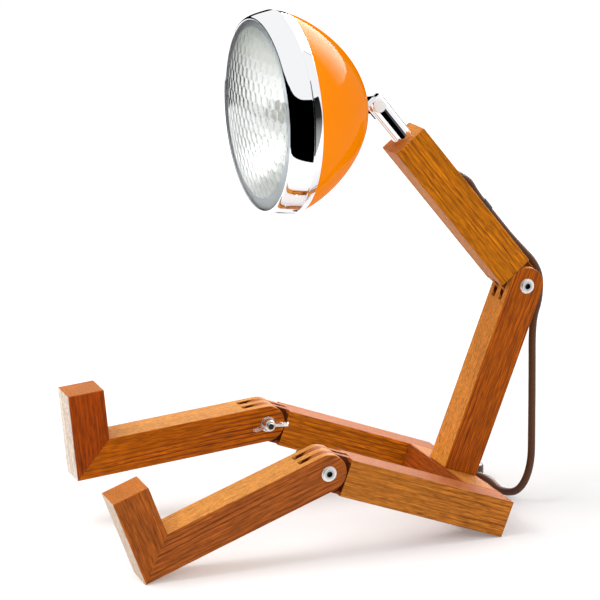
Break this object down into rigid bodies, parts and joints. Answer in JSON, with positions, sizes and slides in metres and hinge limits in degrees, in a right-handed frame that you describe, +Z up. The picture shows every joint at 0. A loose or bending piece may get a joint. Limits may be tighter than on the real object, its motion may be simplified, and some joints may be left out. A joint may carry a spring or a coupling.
{
  "type": "jointed desk lamp",
  "caption": "Desk lamp built as a seated jointed timber figure, with a round glazed headlamp for a head and a free cord with in-line switch and plug.",
  "frame": {"origin": "on the floor, below the middle of the lamp's box without its free cord", "axes": "+X to the lamp's left, +Y to its back, +Z up"},
  "size_m": [0.3642, 0.3842, 0.4069],
  "materials": {
    "hardwood": "oiled reddish-brown hardwood with an open straight grain",
    "zinc_steel": "bright zinc plated",
    "chrome": "polished chrome plate",
    "orange_enamel": "glossy orange enamel",
    "prism_glass": "pressed clear glass with prisms inside",
    "black_rubber": "matt rubber",
    "bright_aluminium": "bright anodised reflector",
    "spring_steel": "sprung wire",
    "ceramic": "pale lamp holder",
    "bulb_glass": "frosted bulb",
    "brown_cord": "smooth brown flex",
    "brown_plastic": "moulded brown plastic",
    "plug_brass": "nickelled brass"
  },
  "bodies": {
    "hips": {"left_thigh": "hardwood", "right_thigh": "hardwood", "hip_block": "hardwood", "hip_dowels": "hardwood", "torso": "hardwood", "torso_screw": "zinc_steel", "elbow_bolt": "zinc_steel", "elbow_washer": "zinc_steel", "cord_drop": "brown_cord", "cord_lead": "brown_cord", "cord_coil": "brown_cord", "cord_tail": "brown_cord", "switch_base": "brown_plastic", "switch_cover": "brown_plastic", "switch_screws": "zinc_steel", "plug_body": "brown_plastic", "plug_pins": "plug_brass"},
    "elbow_nut": {"elbow_wing_nut": "zinc_steel"},
    "arm": {"upper_arm": "hardwood", "neck_grub_screw": "zinc_steel", "cord_clip": "zinc_steel", "clip_screws": "zinc_steel", "cord_arm": "brown_cord", "cord_bow": "brown_cord"},
    "neck": {"neck_tube": "chrome", "head_pin": "chrome"},
    "head": {"head_knuckle": "chrome", "head_washer": "zinc_steel", "head_nut": "zinc_steel", "head_bowl": "orange_enamel", "head_rim": "chrome", "head_lens": "prism_glass", "lens_gasket": "black_rubber", "reflector": "bright_aluminium", "retaining_ring": "spring_steel", "lamp_holder": "ceramic", "bulb": "bulb_glass"},
    "rocker": {"switch_rocker": "brown_plastic"},
    "left_leg": {"left_shin": "hardwood", "left_foot": "hardwood", "left_heel_key": "hardwood", "left_knee_bolt": "zinc_steel", "left_knee_washer": "zinc_steel"},
    "left_knee_nut": {"left_knee_wing_nut": "zinc_steel"},
    "right_leg": {"right_shin": "hardwood", "right_foot": "hardwood", "right_heel_key": "hardwood", "right_knee_bolt": "zinc_steel", "right_knee_washer": "zinc_steel"},
    "right_knee_nut": {"right_knee_wing_nut": "zinc_steel"}
  },
  "joints": [
    {"name": "left_knee", "type": "hinge", "parent": "hips", "child": "left_leg", "pos_m": [0.06645, -0.02018, 0.069], "axis": [1, 0, 0], "range_deg": [-130.68, 49.32]},
    {"name": "right_knee", "type": "hinge", "parent": "hips", "child": "right_leg", "pos_m": [-0.06645, -0.02018, 0.069], "axis": [1, 0, 0], "range_deg": [-115.7, 64.3]},
    {"name": "elbow", "type": "hinge", "parent": "hips", "child": "arm", "pos_m": [0, 0.1734, 0.18057], "axis": [1, 0, 0], "range_deg": [-59.9, 30.1], "deforming": ["cord_bow"]},
    {"name": "neck_swivel", "type": "hinge", "parent": "arm", "child": "neck", "pos_m": [0, 0.04949, 0.33088], "axis": [0, -0.6361, 0.7716], "range_deg": [-90, 90]},
    {"name": "head_tilt", "type": "hinge", "parent": "neck", "child": "head", "pos_m": [0, 0.04949, 0.33088], "axis": [1, 0, 0], "range_deg": [-51.7, 34.2]},
    {"name": "left_knee_nut_turn", "type": "hinge", "parent": "left_leg", "child": "left_knee_nut", "pos_m": [0.06645, -0.02018, 0.069], "axis": [1, 0, 0], "continuous": true},
    {"name": "right_knee_nut_turn", "type": "hinge", "parent": "right_leg", "child": "right_knee_nut", "pos_m": [-0.06645, -0.02018, 0.069], "axis": [1, 0, 0], "continuous": true},
    {"name": "elbow_nut_turn", "type": "hinge", "parent": "hips", "child": "elbow_nut", "pos_m": [0, 0.1734, 0.18057], "axis": [1, 0, 0], "continuous": true},
    {"name": "switch_rocker_tilt", "type": "hinge", "parent": "hips", "child": "rocker", "pos_m": [-0.07465, 0.15184, 0.01], "axis": [-0.2924, 0.9563, 0], "range_deg": [0, 12]}
  ]
}
